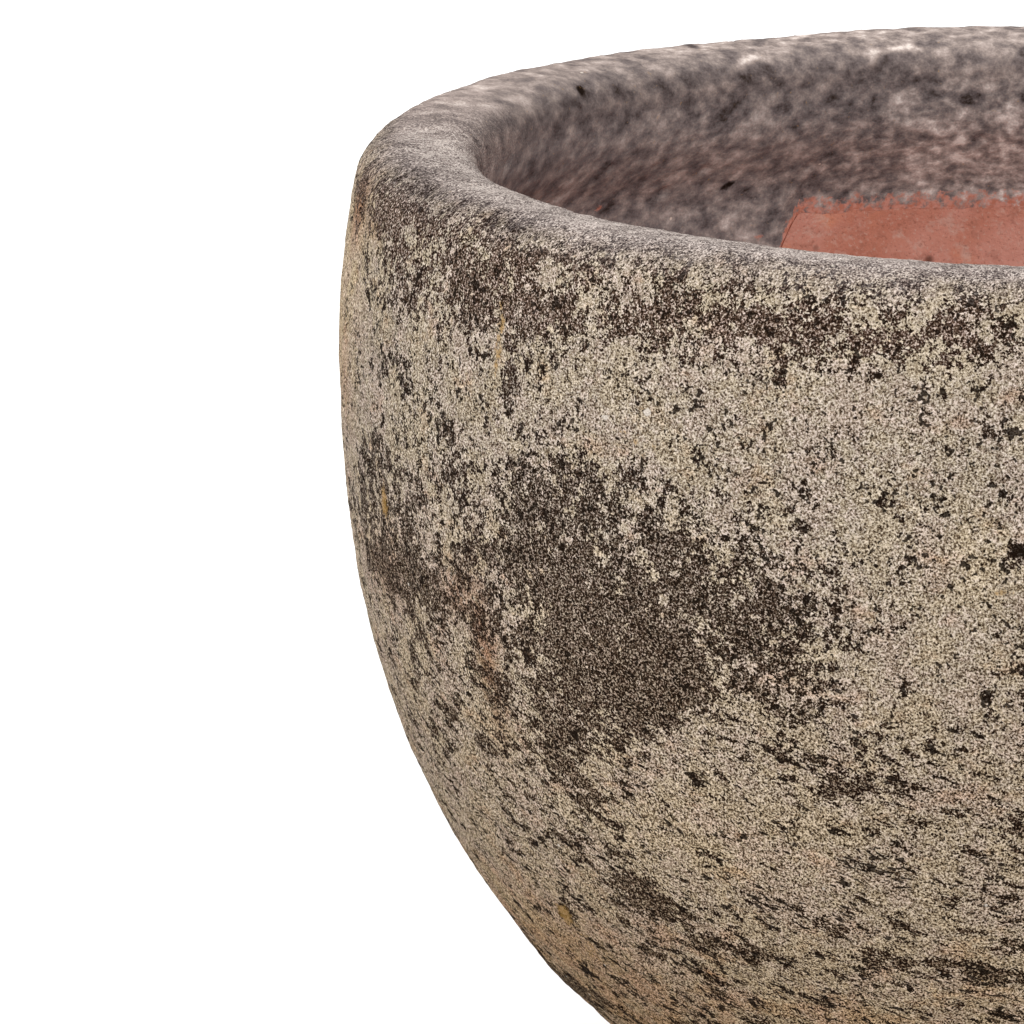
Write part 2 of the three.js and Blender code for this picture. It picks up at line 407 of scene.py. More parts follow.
# Places that a material's setting grows over, from start to end: reaches in millimetres, or
# degrees away from the camera's side.
INSIDE = (6, -16)
WORN_RIM = (64, 40)
FAR_SIDE = (80, 100)
SOFT_SIDE = (75, 115)
ZONES = {"speckle": (115, 75), "streaky": (190, 270), "warm": (120, 300), "low": (290, 430)}

# The same, with the amount that is reached at the end.
Fade = namedtuple("Fade", "amount start end")

# Sand against soot. THICK_SOOT grows with the soot's strength.
EVEN_CRUST, CRUST_DRIFT = 0.33, 0.45
SOOT_PULL, SOOT_LIMIT = 0.85, 1.25
THICK_SOOT = Fade(0.15, 0.4, 0.9)

# Tone of the worn rim and of the coat inside. The shoulder and lip fades darken the rim where it
# turns down from the light: painted shade.
NEAR_TONE, FAR_TONE = 0.845, 0.67
SHOULDER_SHADE = Fade(0.26, 34, 56)
FAR_CROWN_DARK = Fade(0.16, 34, 2)
FAR_LIP_SHADE = Fade(0.10, 13, 4)
NEAR_LIP_SHADE = Fade(0.20, 6, 2)
INSIDE_LIGHT = 0.10
INSIDE_FAR_LIGHT = Fade(0.06, 120, 175)
INSIDE_BACK_LIGHT = Fade(0.13, 155, 178)
TONE_UNEVEN, INSIDE_UNEVEN = 0.16, 0.10
EVEN_MOTTLE = 0.6
SIDE_MOTTLE = Fade(0.4, 105, 150)
BACK_MOTTLE = Fade(0.45, 145, 175)


def strength(patches, azimuth, reach, radius):
    """How strongly the patches together cover each place."""
    total = np.zeros(len(azimuth))
    for p in map(Patch._make, patches):
        turn = (azimuth - p.azimuth + 180) % 360 - 180
        across = np.radians(turn) * radius / MM / p.wide
        down = (reach / MM - p.reach) / p.tall
        total += p.amount * np.exp(-PATCH_FALL * (across**2 + down**2))
    return total


def stains():
    """The patches of each kind, with more on the sides that the photograph doesn't show."""
    rng = np.random.default_rng(SCATTER_SEED)
    found = {
        "soot": [*SOOT_PATCHES],
        "sand": [*SAND_PATCHES],
        "ochre": [*OCHRE_SPOTS],
        "pink": [*PINK_PATCHES],
    }
    for kind, count, *spans in SCATTERED:
        for _ in range(count):
            found[kind].append([rng.uniform(*span) for span in (OTHER_SIDES, *spans)])
    return found


def faded(fade, value):
    """The fade's amount, growing from nothing at its start to all of it at its end."""
    return fade.amount * rise(value, fade.start, fade.end)


def pushed_aside(points, seed):
    """How far each place's stain is moved, so that the patches' edges come out ragged."""
    return STAIN_SHIFT * rough_noise(points, 24 * MM, seed, 4, 0.75)


def bare_sand(points, place, found):
    """How much sand lies bare: about 0 where sand and soot meet."""
    stain = strength(found["soot"], *place)
    crust = EVEN_CRUST + CRUST_DRIFT * rough_noise(points, 30 * MM, 63, 4, 0.8)
    crust += strength(found["sand"], *place)
    return crust - SOOT_PULL * np.minimum(stain, SOOT_LIMIT) - faded(THICK_SOOT, stain)


def worn_tone_with_painted_light(points, place, away, inside):
    """Tone of the worn rim and of the coat inside, from 0 for soot to 1 for bare sand, with painted
    highlights and painted shade on the rim laid into it.
    """
    down = place[1] / MM
    far = rise(away, *FAR_SIDE)
    # The shoulder and lip fades are painted shade where the rim turns down.
    tone = NEAR_TONE + (FAR_TONE - NEAR_TONE) * far - faded(SHOULDER_SHADE, down)
    tone -= far * (faded(FAR_CROWN_DARK, down) + faded(FAR_LIP_SHADE, down))
    tone -= (1 - far) * faded(NEAR_LIP_SHADE, down)
    tone += (INSIDE_LIGHT + faded(INSIDE_FAR_LIGHT, away) + faded(INSIDE_BACK_LIGHT, away)) * inside
    # Painted highlights on the lip and crest, and painted shade on the shoulder and under the lip,
    # with a few real pale and dark marks.
    tone += strength(HIGHLIGHTS_AND_PALE_MARKS, *place) - strength(SHADE_AND_DARK_MARKS, *place)
    uneven = TONE_UNEVEN + (INSIDE_UNEVEN - TONE_UNEVEN) * inside
    return tone + uneven * rough_noise(points, 26 * MM, 64, 4, 0.75)


def coat_fields(points, azimuth, reach, radius):
    """What the coat's material needs to know of each place."""
    found = stains()
    moved = reach + pushed_aside(points, 61)
    place = (azimuth + np.degrees(pushed_aside(points, 62) / radius), moved, radius)
    away = np.abs((azimuth + 180) % 360 - 180)  # degrees from the camera's side
    inside = rise(reach, *(end * MM for end in INSIDE))
    rim_share = rise(moved, *(end * MM for end in WORN_RIM))
    mottled = EVEN_MOTTLE + faded(SIDE_MOTTLE, away) + faded(BACK_MOTTLE, away) * inside
    fields = {
        "crust": bare_sand(points, place, found),
        "tone": worn_tone_with_painted_light(points, place, away, inside),
        "rim": rim_share,
        "inside": inside,
        "soft": np.maximum(inside, rim_share * rise(away, *SOFT_SIDE)),
        "mottled": mottled,
        "pit": strength(PIT_SPOTS, azimuth, reach, radius),
        "stone": strength(STONE_SPOTS, azimuth, reach, radius),
        "ochre": strength(found["ochre"], *place),
        "pink": np.minimum(strength(found["pink"], *place), 1),
        "rust": np.minimum(strength(RUST_PATCHES, *place), 1),
        "pale": np.minimum(strength(PALE_PATCHES_AND_EDGE_LIGHT, *place), 1),
    }
    for name, (start, end) in ZONES.items():
        fields[name] = rise(reach, start * MM, end * MM)
    return fields


# ---- Shape of the surfaces ------------------------------------------------------------------

# `rows` run down the section and `columns` round the bowl. `facts` are the values that the
# material reads at each point.
Surface = namedtuple("Surface", "points rows columns smooth_rows facts")


def wobble(points, azimuth):
    """How far the hand-made bowl is off a true round, the same for clay and coat."""
    height = points[:, 2]
    radius = np.hypot(points[:, 0], points[:, 1])
    turn = np.radians(azimuth)
    lift = rise(height, 0.0, RIM_FOOT)
    outward = sum(far * np.cos(times * turn + phase) for far, times, phase in SWINGS) * lift
    outward += BULGE * smooth_noise(points, BULGE_SIZE, 5) * lift
    round_rim = (azimuth + 180) % 360 - 180
    upward = np.interp(round_rim, *zip(*RIM_RISE)) * MM * rise(height, RIM_FOOT, RIM_TOP)
    return np.stack([points[:, 0] / radius * outward, points[:, 1] / radius * outward, upward], 1)


def turned(radius, height, azimuth):
    a = np.radians(azimuth)
    return np.stack([radius * np.sin(a), -radius * np.cos(a), height], -1)


def pits(points, region, count, seed, sizes):
    """Depth of small round hollows scattered over the stations in `region`."""
    rng = np.random.default_rng(seed)
    depth = np.zeros(len(points))
    chosen = rng.choice(np.flatnonzero(region), count, replace=False)
    order = np.argsort(points[:, 2])
    heights = points[order, 2]
    for centre in points[chosen]:
        size = rng.uniform(*sizes)
        low, high = np.searchsorted(heights, (centre[2] - 2 * size, centre[2] + 2 * size))
        near = order[low:high]
        away = np.linalg.norm(points[near] - centre, axis=1) / size
        depth[near] = np.maximum(depth[near], size * PIT_DEPTH * np.exp(-(away**4)))
    return depth


def roughness(points, rough):
    return rough.height * rough_noise(points, *rough[1:])


def coat_relief(points, azimuth, reach, radius):
    """Lumps and hollows of the coat: height above its even surface."""
    small = pits(points, reach > -60 * MM, count=900, seed=23, sizes=(1.2 * MM, 2.6 * MM))
    big = pits(points, reach > 30 * MM, count=60, seed=24, sizes=(2.6 * MM, 4.2 * MM))
    height = sum(roughness(points, rough) for rough in COAT_ROUGHNESS)
    height += strength(LUMPS, azimuth, reach, radius) * MM
    height -= strength(PIT_SPOTS, azimuth, reach, radius) * SHOWN_PIT_DEPTH
    return height - np.maximum(small, BIG_PIT_SHARE * big)


def coat_ends(azimuth):
    """Reach of the coat's foot and of its inner edge. The photograph shows the inner edge
    level at the back and deeper towards the left."""
    line, _, reach = coated_outline()
    foot = np.interp(COAT_FOOT, line[:FOOT_STATIONS, 1], reach[:FOOT_STATIONS])
    turn = (azimuth + 180) % 360
    edge = -INNER_EDGE - INNER_EDGE_DROP * rise(turn, *DROP_BEGINS) * (1 - rise(turn, *DROP_ENDS))
    ring = turned(np.full(len(azimuth), 0.9 * BELLY_RADIUS), np.zeros(len(azimuth)), azimuth)
    first = foot - RAGGEDNESS * (1 + rough_noise(ring, 30 * MM, 71))
    last = edge + RAGGEDNESS * rough_noise(ring, 20 * MM, 72, 5, 0.8)
    return first, last


def coat_surface():
    """The coat as a closed shell: its face from the foot to the ragged inner edge, then its
    back on the clay."""
    down = np.linspace(0, 1, COAT_ROWS)
    back_up = np.linspace(1, 0, COAT_BACK_ROWS + 2)[1:-1]
    share = np.concatenate([down, back_up])[:, None]
    columns = np.linspace(0, 360, COAT_COLUMNS, endpoint=False)
    first, last = coat_ends(columns)
    reach = (first + (last - first) * share).ravel()
    from_end = ((first - last) * np.minimum(share, 1 - share)).ravel()
    azimuth = np.tile(columns, len(share))

    line, out, known = coated_outline()
    radius, height, out_radius, out_height = (
        np.interp(reach, known[::-1], values[::-1]) for values in (*line.T, *out.T)
    )
    clay, normal = turned(radius, height, azimuth), turned(out_radius, out_height, azimuth)
    face = slice(COAT_ROWS * COAT_COLUMNS)
    relief = coat_relief(clay[face], azimuth[face], reach[face], radius[face])
    full = THIN_END + (1 - THIN_END) * rise(from_end[face], 0, THINNING)
    thick = np.full(len(clay), -SUNK)
    laid_on = np.maximum(THINNEST, full * (SKIN + relief))
    thick[face] = np.where(from_end[face] > TOUCHING, laid_on, -SUNK)
    points = clay + wobble(clay, azimuth) + normal * thick[:, None]

    place = (azimuth, reach, np.hypot(points[:, 0], points[:, 1]))
    facts = coat_fields(points, *place)
    facts["worn"] = strength(BARE_SPOTS, *place)
    facts["worn"][face] += 1 - rise(from_end[face], 0, WORN)
    return Surface(points, len(share), COAT_COLUMNS, COAT_ROWS - 1, facts)


def clay_surface():
    """The clay's whole section turned round, with faint throwing rings inside."""
    line, out = (np.concatenate([values, values[:1]]) for values in clay_outline())
    walked = distances(line)
    at = np.linspace(0, walked[-1], CLAY_ROWS, endpoint=False)
    radius, height, out_radius, out_height = (
        np.interp(at, walked, values).repeat(CLAY_COLUMNS) for values in (*line.T, *out.T)
    )
    azimuth = np.tile(np.linspace(0, 360, CLAY_COLUMNS, endpoint=False), CLAY_ROWS)
    points, normal = turned(radius, height, azimuth), turned(out_radius, out_height, azimuth)
    inside = (out_radius < FACING_IN) & (height > FLOOR_TOP - TOUCHING) & (height < RINGS_TOP)
    wander = 2 * smooth_noise(points, RING_WANDER, 41)
    rings = THROWING_RING * np.sin(points[:, 2] / RING_PITCH * 2 * math.pi + wander)
    relief = inside * (rings + roughness(points, CLAY_ROUGHNESS) - INSIDE_SUNK)
    points = points + wobble(points, azimuth) + normal * relief[:, None]
    return Surface(points, CLAY_ROWS, CLAY_COLUMNS, CLAY_ROWS, {})


# ---- Meshes ---------------------------------------------------------------------------------

BAKE_MAP = "OFBake"
MAP_STRIPS = 2  # the turned surface is laid out for a texture as this many strips
MAP_USED = 0.998  # share of a strip's height in use, so that strips don't touch


def ring_mesh(name, surface):
    """A closed mesh from rows and columns that both run round and meet their start."""
    rows, columns = surface.rows, surface.columns
    i, j = np.meshgrid(np.arange(rows), np.arange(columns), indexing="ij")
    i2, j2 = (i + 1) % rows, (j + 1) % columns
    corners = (i * columns + j, i * columns + j2, i2 * columns + j2, i2 * columns + j)
    quads = np.stack(corners, -1).reshape(-1, 4)
    p = surface.points[quads]
    volume = sum(np.einsum("ij,ij->", p[:, 0], np.cross(p[:, k], p[:, k + 1])) for k in (1, 2))

    strip, within = np.divmod(np.arange(columns) * MAP_STRIPS / columns, 1)
    left, right = np.tile(within, rows), np.tile(within + MAP_STRIPS / columns, rows)
    upper = np.repeat(np.arange(rows) / rows, columns) * MAP_USED
    lower = upper + MAP_USED / rows
    u = np.stack([left, right, right, left], 1)
    v = (np.tile(strip, rows)[:, None] + np.stack([upper, upper, lower, lower], 1)) / MAP_STRIPS
    if volume < 0:  # the quads face inwards
        quads, u, v = quads[:, ::-1], u[:, ::-1], v[:, ::-1]

    mesh = bpy.data.meshes.new(name)
    mesh.vertices.add(len(surface.points))
    mesh.vertices.foreach_set("co", surface.points.astype(np.float32).ravel())
    mesh.loops.add(quads.size)
    mesh.loops.foreach_set("vertex_index", quads.astype(np.int32).ravel())
    mesh.polygons.add(len(quads))
    mesh.polygons.foreach_set("loop_start", np.arange(0, quads.size, 4, dtype=np.int32))
    mesh.update(calc_edges=True)
    smooth = np.repeat(np.arange(rows) < surface.smooth_rows, columns)
    mesh.polygons.foreach_set("use_smooth", smooth)
    layer = mesh.uv_layers.new(name=BAKE_MAP)
    layer.data.foreach_set("uv", np.stack([u, v], -1).astype(np.float32).ravel())
    for key, values in surface.facts.items():
        attribute = mesh.attributes.new(key, "FLOAT", "POINT")
        attribute.data.foreach_set("value", values.astype(np.float32))
    mesh.validate()
    piece = bpy.data.objects.new(name, mesh)
    bpy.context.scene.collection.objects.link(piece)
    return piece


# ---- Material helper ------------------------------------------------------------------------


class Shader:
    """A material's node tree, written as expressions."""

    def __init__(self, name):
        self.material = bpy.data.materials.new(name)
        self.material.use_nodes = True
        self.tree = self.material.node_tree
        self.tree.nodes.clear()
        self.surface = self.node("ShaderNodeBsdfPrincipled")
        output = self.node("ShaderNodeOutputMaterial")
        self.tree.links.new(self.surface.outputs[0], output.inputs["Surface"])
        self.place = self.node("ShaderNodeTexCoord").outputs["Object"]

    def node(self, kind, **settings):
        made = self.tree.nodes.new(kind)
        for key, value in settings.items():
            setattr(made, key, value)
        return made

    def feed(self, socket, value):
        if isinstance(value, bpy.types.NodeSocket):
            self.tree.links.new(value, socket)
        else:
            socket.default_value = value

    def attribute(self, name):
        return self.node("ShaderNodeAttribute", attribute_name=name).outputs["Fac"]

    def tilted(self, degrees):
        """Places turned so that level grain slopes down to the right on the camera's side."""
        made = self.node("ShaderNodeVectorRotate", rotation_type="AXIS_ANGLE")
        self.feed(made.inputs["Vector"], self.place)
        made.inputs["Axis"].default_value = (-1, -1, 0)
        made.inputs["Angle"].default_value = math.radians(degrees)
        return made.outputs[0]

    def shifted(self, seed, stretch=(1, 1, 1), tilt=0):
        mapping = self.node("ShaderNodeMapping")
        self.feed(mapping.inputs["Vector"], self.tilted(tilt) if tilt else self.place)
        mapping.inputs["Location"].default_value = (0.37 * seed, 0.71 * seed, 0.53 * seed)
        mapping.inputs["Scale"].default_value = stretch
        return mapping.outputs[0]

    def noise(self, size, seed, detail, roughness, stretch=(1, 1, 1), tilt=0):
        """Noise from 0 to 1 with features about `size` across."""
        made = self.node("ShaderNodeTexNoise")
        self.feed(made.inputs["Vector"], self.shifted(seed, stretch, tilt))
        made.inputs["Scale"].default_value = 1 / size
        made.inputs["Detail"].default_value = detail
        made.inputs["Roughness"].default_value = roughness
        return made.outputs["Fac"]

    def cells(self, size, seed, output="Distance"):
        """Distance from the middle of the nearest cell, or that cell's random colour."""
        made = self.node("ShaderNodeTexVoronoi")
        self.feed(made.inputs["Vector"], self.shifted(seed))
        made.inputs["Scale"].default_value = 1 / size
        return made.outputs[output]

    def cell_shade(self, size, seed):
        """A random number from 0 to 1 for each cell."""
        made = self.node("ShaderNodeSeparateColor")
        self.feed(made.inputs[0], self.cells(size, seed, "Color"))
        return made.outputs[0]

    def math(self, operation, a, b):
        made = self.node("ShaderNodeMath", operation=operation)
        self.feed(made.inputs[0], a)
        self.feed(made.inputs[1], b)
        return made.outputs[0]

    def centred(self, value, factor):
        """A noise turned round its middle to swing by `factor`."""
        return self.math("MULTIPLY", self.math("SUBTRACT", value, 0.5), factor)

    def sum(self, *terms):
        """Each term is a value, or a value and its factor."""
        total = None
        for term in terms:
            value = self.math("MULTIPLY", *term) if isinstance(term, tuple) else term
            total = value if total is None else self.math("ADD", total, value)
        return total

    def lerp(self, share, a, b):
        made = self.node("ShaderNodeMix", data_type="FLOAT")
        self.feed(made.inputs[0], share)
        self.feed(made.inputs[2], a)
        self.feed(made.inputs[3], b)
        return made.outputs[0]

    def step(self, value, low, high, start=0.0, end=1.0):
        """A soft step from `start` below `low` to `end` above `high`."""
        made = self.node("ShaderNodeMapRange", interpolation_type="SMOOTHSTEP")
        for socket, given in zip(made.inputs, (value, low, high, start, end)):
            self.feed(socket, given)
        return made.outputs[0]

    def mix(self, share, a, b, blend="MIX"):
        made = self.node("ShaderNodeMix", data_type="RGBA", blend_type=blend)
        self.feed(made.inputs["Factor"], share)
        for socket, colour in ((made.inputs[6], a), (made.inputs[7], b)):
            self.feed(socket, colour if isinstance(colour, bpy.types.NodeSocket) else (*colour, 1))
        return made.outputs[2]

    def tinted(self, colour, *tints):
        """The colour multiplied by each tint in turn, to the tint's share."""
        for share, tint in tints:
            colour = self.mix(share, colour, self.mix(1.0, colour, tint, "MULTIPLY"))
        return colour

    def ramp(self, value, stops):
        """A colour from a value, straight between the stops."""
        made = self.node("ShaderNodeValToRGB")
        self.feed(made.inputs["Fac"], value)
        band = made.color_ramp
        ends = (band.elements[0], band.elements[1])
        for element, (place, colour) in zip(ends, (stops[0], stops[-1])):
            element.position, element.color = place, (*colour, 1)
        for place, colour in stops[1:-1]:
            band.elements.new(place).color = (*colour, 1)
        return made.outputs["Color"]

    def bump(self, height):
        """Relief from a height in millimetres."""
        made = self.node("ShaderNodeBump")
        made.inputs["Distance"].default_value = MM
        self.feed(made.inputs["Height"], height)
        self.feed(self.surface.inputs["Normal"], made.outputs[0])

    def finish(self, colour, roughness, specular):
        self.feed(self.surface.inputs["Base Color"], colour)
        self.feed(self.surface.inputs["Roughness"], roughness)
        self.feed(self.surface.inputs["Specular IOR Level"], specular)
        return self.material


# ---- Materials ------------------------------------------------------------------------------

# Near black: the colour of soot, and also painted shade in the coat's hollows.
SOOT_AND_HOLLOW_SHADE = (0.0095, 0.0052, 0.0030)
CHARCOAL = (0.034, 0.0202, 0.0125)
UMBER = (0.074, 0.0495, 0.0325)
GREY_GRAIN = (0.165, 0.128, 0.098)
LIGHT_GRAIN = (0.42, 0.355, 0.295)
# Near black for the lowest grains of the bare sand: painted shade between the grains.
PIT_SHADE = (0.0125, 0.0068, 0.0036)
BROWN_SAND = (0.105, 0.072, 0.049)
BUFF = (0.235, 0.184, 0.132)
CREAM = (0.365, 0.305, 0.232)
PALE = (0.585, 0.495, 0.415)
BRIGHT = (0.72, 0.62, 0.53)
OCHRE = (0.33, 0.19, 0.055)
WHITE_STONE = (0.60, 0.53, 0.46)
CLAY_RED = (0.43, 0.170, 0.115)
CLAY_ORANGE = (0.55, 0.21, 0.115)
CLAY_PINK = (0.52, 0.25, 0.195)
CLAY_BROWN = (0.23, 0.095, 0.065)
CLAY_SPOT = (0.075, 0.030, 0.020)
BLOOM = (0.52, 0.36, 0.30)
STUDIO_WHITE = (0.95, 0.95, 0.95)

# Tints that a colour is multiplied by.
YELLOW_TINT = (1.00, 0.985, 0.915)
LILAC_TINT = (1.01, 0.975, 1.005)
PINK_TINT = (1.03, 0.905, 0.82)
RUST_TINT = (0.66, 0.50, 0.41)
# Paler and yellower: pale patches, and painted light on the left edge.
PALE_AND_EDGE_LIGHT_TINT = (1.24, 1.19, 1.07)
WARM_TINT = (1.00, 0.955, 0.885)
DARK_WARM_TINT = (0.91, 0.83, 0.71)
DARK_RIM_TINT = (1.30, 1.25, 1.27)
# Darker and browner towards the bottom: partly dirt, partly painted shade.
LOW_DIRT_AND_SHADE_TINT = (0.835, 0.775, 0.665)
INSIDE_TINT = (1.13, 1.22, 1.26)

# Grain colours by how high the grain stands, for the soot-stained face and the bare sand,
# and the colours of the worn rim by its tone.
DARK_RAMP = (
    (0.24, SOOT_AND_HOLLOW_SHADE), (0.41, CHARCOAL), (0.53, UMBER), (0.66, GREY_GRAIN), (0.86, LIGHT_GRAIN),
)
LIGHT_RAMP = (
    (0.10, PIT_SHADE), (0.27, BROWN_SAND), (0.42, BUFF), (0.55, CREAM), (0.74, PALE), (0.94, BRIGHT),
)
RIM_RAMP = (
    (0.00, (0.012, 0.007, 0.005)),
    (0.14, (0.040, 0.029, 0.025)),
    (0.28, (0.084, 0.067, 0.065)),
    (0.45, (0.145, 0.118, 0.112)),
    (0.60, (0.225, 0.182, 0.164)),
    (0.80, (0.370, 0.303, 0.274)),
    (1.00, (0.62, 0.54, 0.49)),
)

# Sizes of the coat's patterns, from coarse to fine.
RUST_SIZE = 24 * MM
TINT_SIZE = 19 * MM
BROAD_SIZE = 14 * MM
STONE_SPACING = 9 * MM
MOTTLE_SIZE = 6.5 * MM
CLUMP_SIZE = 6 * MM
HUE_SIZE = 3.5 * MM
FLAKE_SIZE = 3.1 * MM
DOT_SIZE = 2.3 * MM
SAND_SIZE = 0.95 * MM
GRAIN_SIZE = 0.85 * MM
STREAK_STRETCH = (0.55, 0.55, 1.4)  # drawn out round the bowl
STREAK_TILT = 20  # degrees

Grains = namedtuple("Grains", "broad clumps flakes dots fine sand hue streaky")


def coat_grains(m):
    """The patterns that the coat's colours and relief are made from."""
    broad = m.noise(BROAD_SIZE, 1, 1, 0.6)
    streaky = m.step(m.sum(m.attribute("streaky"), m.centred(broad, 1.5)), 0.42, 0.58)

    def drawn_out(size, seed, detail, roughness):
        """Noise that is stretched round the bowl on its lower half."""
        even = m.noise(size, seed, detail, roughness)
        streaks = m.noise(size, seed + 30, detail, roughness, STREAK_STRETCH, STREAK_TILT)
        return m.lerp(streaky, even, streaks)

    return Grains(
        broad=broad,
        clumps=drawn_out(CLUMP_SIZE, 5, 1.0, 0.6),
        flakes=drawn_out(FLAKE_SIZE, 2, 1.8, 0.7),
        dots=drawn_out(DOT_SIZE, 8, 1.0, 0.5),
        fine=m.noise(GRAIN_SIZE, 3, 1.0, 0.7),
        sand=m.cell_shade(SAND_SIZE, 4),
        hue=m.noise(HUE_SIZE, 6, 2, 0.7),
        streaky=streaky,
    )


def grain_height(m, g):
    """How high each grain stands, about 0.5 in the middle."""
    return m.sum(
        g.fine,
        m.centred(g.fine, 0.8),
        m.centred(g.flakes, 0.45),
        m.centred(g.sand, 0.18),
        (m.centred(g.fine, 0.45), g.streaky),
        (m.centred(g.fine, -0.35), m.attribute("speckle")),
    )


def sand_cover(m, g):
    """1 where sand lies bare and 0 where soot covers it."""
    speckle = m.step(m.attribute("speckle"), 0.0, 1.0, 1.2, 2.1)
    level = m.sum(
        m.attribute("crust"),
        m.centred(g.broad, 1.7),
        m.centred(g.clumps, 2.2),
        m.centred(g.flakes, 3.2),
        (m.centred(g.fine, 1.0), speckle),
        m.centred(g.sand, 0.3),
        (m.centred(g.clumps, 1.2), g.streaky),
        (g.streaky, 0.12),
    )
    return m.step(level, -0.14, 0.14)


def stony_colour(m, g, grain, cover):
    """Bare sand and soot, each with its tints."""
    tint = m.sum(m.noise(TINT_SIZE, 7, 3, 0.6), m.centred(g.hue, 0.6))
    rust = m.sum(m.noise(RUST_SIZE, 9, 4, 0.7, stretch=(1, 1, 1.8)), (m.attribute("low"), 0.15))
    stained = m.sum(m.attribute("pink"), m.step(rust, 0.54, 0.72, 0.0, 0.9))
    light = m.tinted(
        m.ramp(grain, LIGHT_RAMP),
        (m.step(tint, 0.46, 0.62), YELLOW_TINT),
        (m.step(tint, 0.50, 0.36), LILAC_TINT),
        (m.attribute("warm"), WARM_TINT),
        (m.attribute("pale"), PALE_AND_EDGE_LIGHT_TINT),
        (m.math("MINIMUM", stained, 1.0), PINK_TINT),
    )
    dark = m.tinted(
        m.ramp(m.sum(grain, m.centred(g.fine, 0.5), m.centred(g.sand, 0.1)), DARK_RAMP),
        (m.step(g.hue, 0.55, 0.40), LILAC_TINT),
        (m.attribute("warm"), DARK_WARM_TINT),
        (m.attribute("speckle"), DARK_RIM_TINT),
    )
    return m.mix(cover, dark, light)


def coat_holes(m, g):
    """Small hollows all over, and the pits that the photograph shows, as a mask for their relief and
    their dark colour, which is painted shade.
    """
    hollows = m.sum(
        g.dots, m.centred(g.clumps, 0.5), m.centred(g.broad, 0.45), (m.attribute("low"), -0.05)
    )
    shown = m.sum(m.attribute("pit"), m.centred(g.flakes, 1.2))
    return m.math("MAXIMUM", m.step(hollows, 0.335, 0.290), m.step(shown, 0.55, 0.70))


def pale_stones(m):
    """A white stone in a few of the cells, and the stones that the photograph shows."""
    few = m.step(m.cell_shade(STONE_SPACING, 10), 0.90, 0.93)
    stone = m.math("MULTIPLY", m.step(m.cells(STONE_SPACING, 10), 0.10, 0.055), few)
    return m.math("MAXIMUM", stone, m.step(m.attribute("stone"), 0.45, 0.6))


def worn_colour_with_painted_light(m, g, mottle):
    """The rubbed rim, with its painted highlights and painted shade, sharp near the camera, and the
    softer coat inside.
    """
    sharp = m.sum(m.centred(g.fine, 2.3), m.centred(g.flakes, 0.9), m.centred(g.sand, 0.22))
    soft = m.sum((m.centred(mottle, 1.35), m.attribute("mottled")), m.centred(g.fine, 0.25))
    grain = m.lerp(m.attribute("soft"), sharp, soft)
    return m.ramp(m.sum(m.attribute("tone"), m.centred(g.broad, 0.5), grain), RIM_RAMP)


def coat_material():
    m = Shader("old_stone_coat")
    g = coat_grains(m)
    mottle = m.noise(MOTTLE_SIZE, 12, 3.0, 0.62, stretch=(0.8, 0.8, 1.0))
    grain, cover = grain_height(m, g), sand_cover(m, g)
    hole, stone = coat_holes(m, g), pale_stones(m)

    rusty = m.math("MULTIPLY", m.attribute("rust"), m.step(g.flakes, 0.35, 0.55))
    colour = stony_colour(m, g, grain, cover)
    # The hollows are mixed towards near black: painted shade in the hollows.
    colour = m.mix(m.math("MULTIPLY", hole, 0.92), colour, SOOT_AND_HOLLOW_SHADE)
    # Darker towards the bottom: partly dirt, partly painted shade.
    colour = m.tinted(colour, (m.attribute("low"), LOW_DIRT_AND_SHADE_TINT), (rusty, RUST_TINT))
    colour = m.mix(m.attribute("rim"), colour, worn_colour_with_painted_light(m, g, mottle))
    colour = m.tinted(colour, (m.attribute("inside"), INSIDE_TINT))

    ochre = m.sum(m.attribute("ochre"), m.centred(g.flakes, 1.6), m.centred(g.fine, 1.2))
    colour = m.mix(m.step(ochre, 0.35, 0.75, 0.0, 0.75), colour, OCHRE)
    colour = m.mix(stone, colour, WHITE_STONE)
    worn = m.sum(m.attribute("worn"), m.centred(g.flakes, 1.6), m.centred(g.fine, 0.5))
    clay = m.mix(m.step(g.hue, 0.4, 0.6), CLAY_RED, CLAY_PINK)
    colour = m.mix(m.step(worn, 0.50, 1.05), colour, clay)

    relief = m.sum((cover, 0.25), (grain, 1.4), (hole, -0.8), (stone, 0.5))
    m.bump(m.lerp(m.attribute("soft"), relief, m.math("MULTIPLY", mottle, 0.7)))
    return m.finish(colour, roughness=0.95, specular=0.02)


def clay_material():
    m = Shader("fired_clay")
    broad = m.noise(60 * MM, 21, 4, 0.6)
    flushed = m.noise(26 * MM, 27, 3, 0.5)
    mottled = m.noise(9 * MM, 22, 3, 0.65)
    grit = m.noise(1.6 * MM, 23, 2, 0.6)
    spot = m.math("MULTIPLY", m.step(m.cells(21 * MM, 25), 0.15, 0.06), m.step(broad, 0.46, 0.56))
    colour = m.mix(m.step(broad, 0.38, 0.66), CLAY_RED, CLAY_PINK)
    for share, laid_over in (
        (m.step(flushed, 0.50, 0.70, 0.0, 0.8), CLAY_ORANGE),
        (m.step(mottled, 0.54, 0.74, 0.0, 0.45), CLAY_BROWN),
        (m.step(mottled, 0.46, 0.28, 0.0, 0.55), BLOOM),
        (m.step(grit, 0.56, 0.74, 0.0, 0.5), BLOOM),
        (m.step(grit, 0.44, 0.26, 0.0, 0.6), CLAY_BROWN),
        (m.math("MULTIPLY", spot, 0.75), CLAY_SPOT),
    ):
        colour = m.mix(share, colour, laid_over)
    m.bump(m.sum((grit, 0.5), (mottled, 1.2), (spot, -0.5)))
    return m.finish(colour, roughness=m.step(mottled, 0.2, 0.8, 0.80, 0.95), specular=0.2)


def floor_material():
    return Shader("studio_floor").finish((*STUDIO_WHITE, 1), roughness=0.9, specular=0.5)


# ---- Pieces ---------------------------------------------------------------------------------


